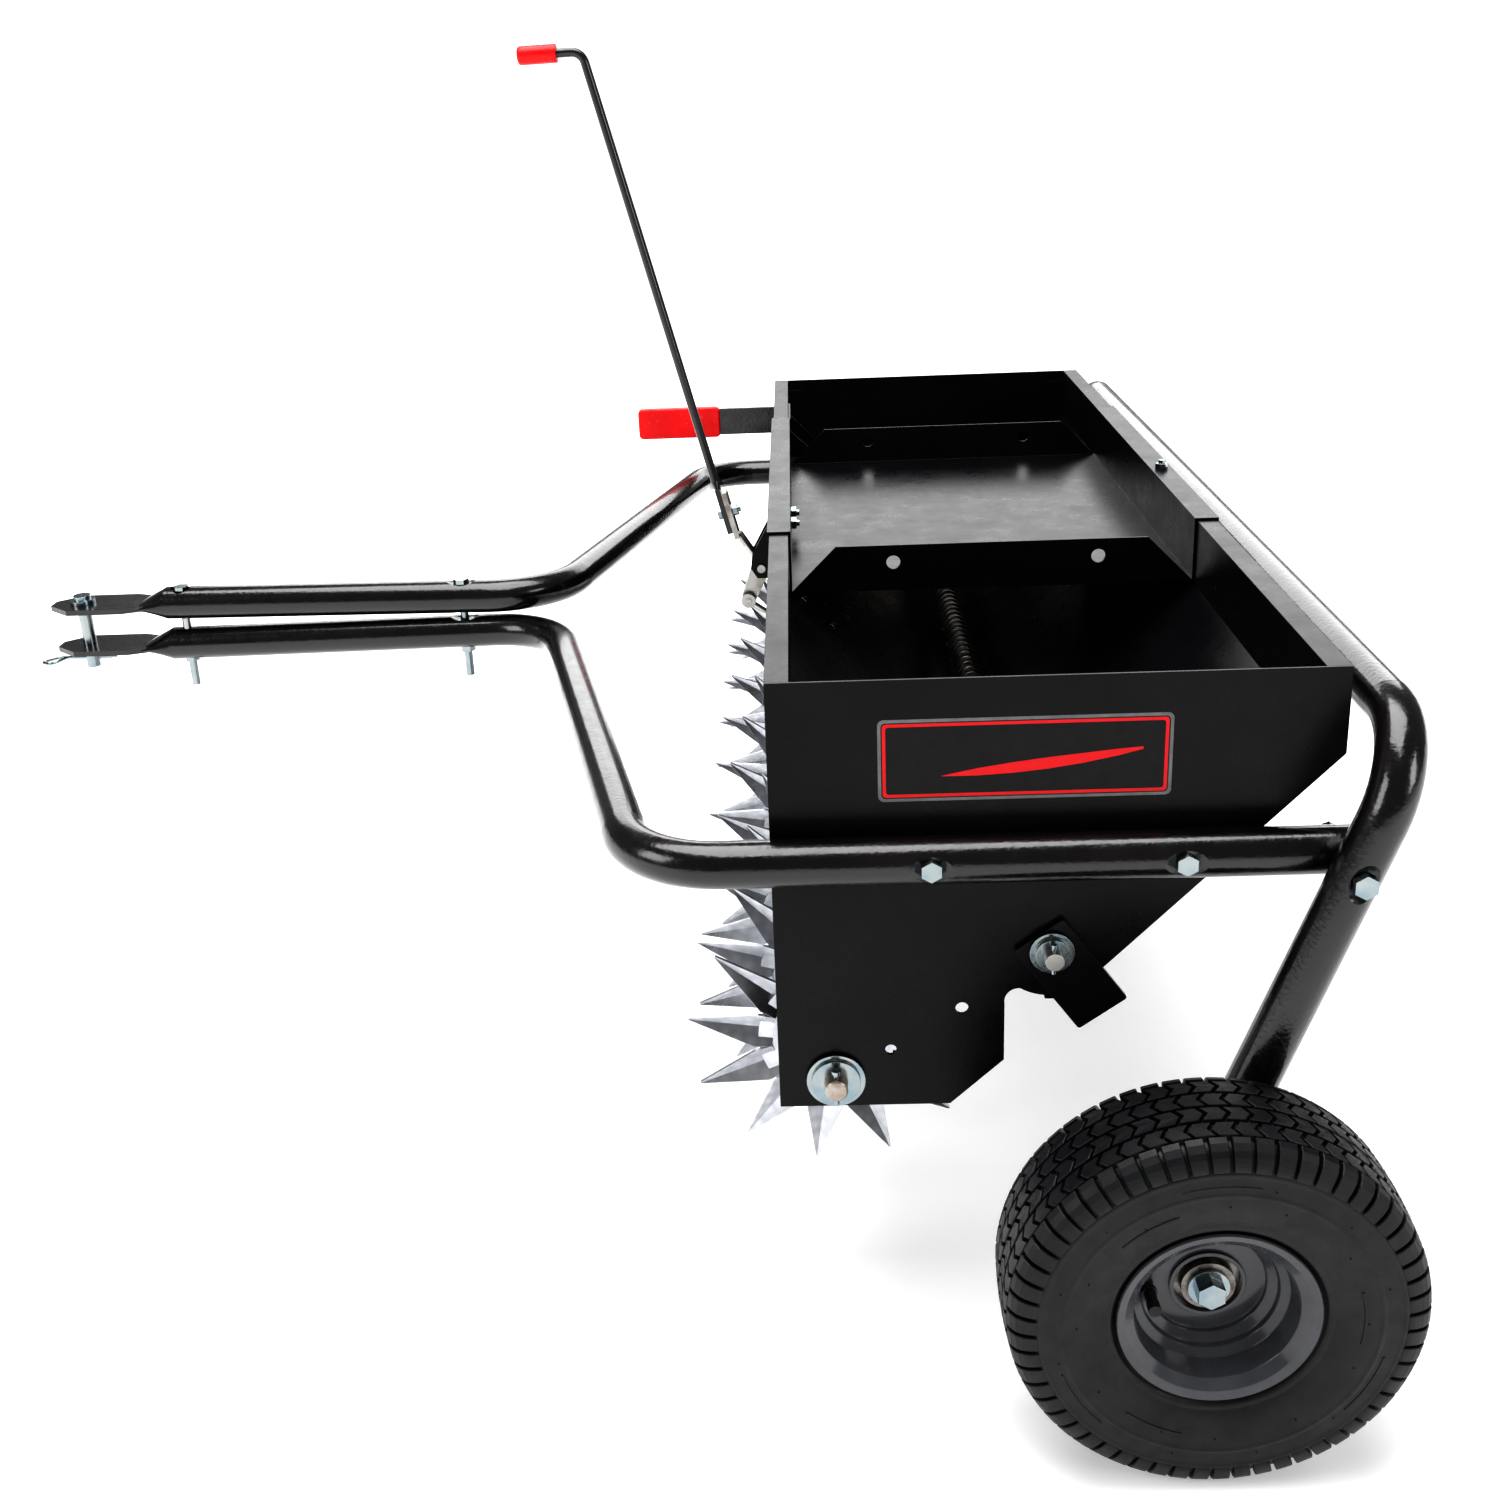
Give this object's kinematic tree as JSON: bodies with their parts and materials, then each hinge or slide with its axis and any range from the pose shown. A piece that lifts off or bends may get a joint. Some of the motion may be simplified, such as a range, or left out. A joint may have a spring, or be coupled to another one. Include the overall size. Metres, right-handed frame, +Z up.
{
  "type": "tow-behind spike aerator spreader",
  "caption": "Tow-behind lawn spike aerator with a drop-spreader hopper, star spike reel, agitator, flow gate lever, swing-down transport wheels and a clevis tow hitch",
  "frame": {"origin": "centre of the bounding box at ground level, with the transport wheels down on the ground", "axes": "+X forward to the tow hitch, +Y to the machine's left and its width, +Z up"},
  "size_m": [1.1435, 1.315, 0.9113],
  "materials": {
    "black_sheet": "satin black powder coat on folded sheet steel",
    "black_tube": "glossy black powder coat with a fine orange-peel texture",
    "zinc_fastener": "bright zinc plate",
    "galvanised_spike": "galvanised sheet steel, faintly mottled",
    "shaft_steel": "plain drawn steel, slightly dulled",
    "black_rod": "gloss black on round bar",
    "drive_steel": "oiled dark steel",
    "bush_plastic": "black moulded nylon",
    "label_film": "plain dark printed film with a grey border and a thin red line",
    "red_vinyl": "dipped red vinyl",
    "grey_rim": "charcoal enamel on pressed steel",
    "tyre_rubber": "matt black tread rubber",
    "bearing_steel": "greased steel bearing",
    "valve_rubber": "black rubber"
  },
  "bodies": {
    "hopper": {"end_panel_left": "black_sheet", "end_panel_right": "black_sheet", "side_labels": "label_film", "hopper_front": "black_sheet", "hopper_rear": "black_sheet", "trough": "black_sheet", "centre_tray": "black_sheet", "inner_bracket": "black_sheet", "control_bracket": "black_sheet", "handle_catch": "black_sheet", "hopper_bolts": "zinc_fastener", "shaft_bushings": "bush_plastic", "tow_tube_left": "black_tube", "tow_tube_right": "black_tube", "tube_bolts": "zinc_fastener", "tongue_bolts": "zinc_fastener", "pivot_bolts": "zinc_fastener", "drive_chain": "drive_steel"},
    "wheel_frame": {"wheel_frame_tube": "black_tube", "transport_handle": "black_tube", "handle_grip": "red_vinyl", "handle_bolts": "zinc_fastener", "wheel_bolts": "zinc_fastener"},
    "left_wheel": {"tyre_left": "tyre_rubber", "rim_left": "grey_rim", "hub_bearing_left": "bearing_steel", "valve_stem_left": "valve_rubber"},
    "right_wheel": {"tyre_right": "tyre_rubber", "rim_right": "grey_rim", "hub_bearing_right": "bearing_steel", "valve_stem_right": "valve_rubber"},
    "spike_reel": {"spike_axle": "shaft_steel", "axle_spacers": "shaft_steel", "axle_washers": "zinc_fastener", "axle_sprocket": "drive_steel", "spike_star_01": "galvanised_spike", "spike_star_02": "galvanised_spike", "spike_star_03": "galvanised_spike", "spike_star_04": "galvanised_spike", "spike_star_05": "galvanised_spike", "spike_star_06": "galvanised_spike", "spike_star_07": "galvanised_spike", "spike_star_08": "galvanised_spike", "spike_star_09": "galvanised_spike", "spike_star_10": "galvanised_spike", "spike_star_11": "galvanised_spike", "spike_star_12": "galvanised_spike"},
    "agitator": {"agitator_shaft": "shaft_steel", "agitator_coil": "shaft_steel", "agitator_washers": "zinc_fastener", "agitator_sprocket": "drive_steel"},
    "gate": {"gate_plate": "black_sheet", "gate_arms": "black_sheet"},
    "control": {"control_lever": "shaft_steel", "control_rod": "black_rod", "rod_cap": "red_vinyl", "clamp_bolt": "zinc_fastener"},
    "link": {"gate_link": "shaft_steel"},
    "pin": {"hitch_pin": "zinc_fastener"},
    "clip": {"hitch_clip": "zinc_fastener"}
  },
  "joints": [
    {"name": "wheel_frame_pivot", "type": "hinge", "parent": "hopper", "child": "wheel_frame", "pos_m": [-0.523, 0, 0.3925], "axis": [0, -1, 0], "range_deg": [0, 58]},
    {"name": "left_wheel_spin", "type": "hinge", "parent": "wheel_frame", "child": "left_wheel", "pos_m": [-0.428, 0.616, 0.1335], "axis": [0, -1, 0], "continuous": true},
    {"name": "right_wheel_spin", "type": "hinge", "parent": "wheel_frame", "child": "right_wheel", "pos_m": [-0.428, -0.616, 0.1335], "axis": [0, -1, 0], "continuous": true},
    {"name": "spike_spin", "type": "hinge", "parent": "hopper", "child": "spike_reel", "pos_m": [-0.1945, 0, 0.215], "axis": [0, -1, 0], "continuous": true},
    {"name": "agitator_spin", "type": "hinge", "parent": "hopper", "child": "agitator", "pos_m": [-0.3415, 0, 0.315], "axis": [0, -1, 0], "continuous": true},
    {"name": "control_lever_swing", "type": "hinge", "parent": "hopper", "child": "control", "pos_m": [-0.143, 0, 0.4325], "axis": [0, -1, 0], "range_deg": [0, 26]},
    {"name": "gate_swing", "type": "hinge", "parent": "hopper", "child": "gate", "pos_m": [-0.3415, 0, 0.315], "axis": [0, -1, 0], "range_deg": [0, 17.33]},
    {"name": "link_swing", "type": "hinge", "parent": "control", "child": "link", "pos_m": [-0.12946, 0.0062, 0.39915], "axis": [0, -1, 0], "range_deg": [-26, 0]},
    {"name": "hitch_pin_lift", "type": "slide", "parent": "hopper", "child": "pin", "axis": [0, 0, 1], "range_m": [0, 0.006]},
    {"name": "hitch_clip_pull", "type": "slide", "parent": "pin", "child": "clip", "axis": [1, 0, 0], "range_m": [0, 0.045]}
  ],
  "couplings": [
    {"joint": "agitator_spin", "follows": "spike_spin", "ratio": 1},
    {"joint": "gate_swing", "follows": "control_lever_swing", "ratio": 0.66667},
    {"joint": "link_swing", "follows": "control_lever_swing", "ratio": -1}
  ]
}
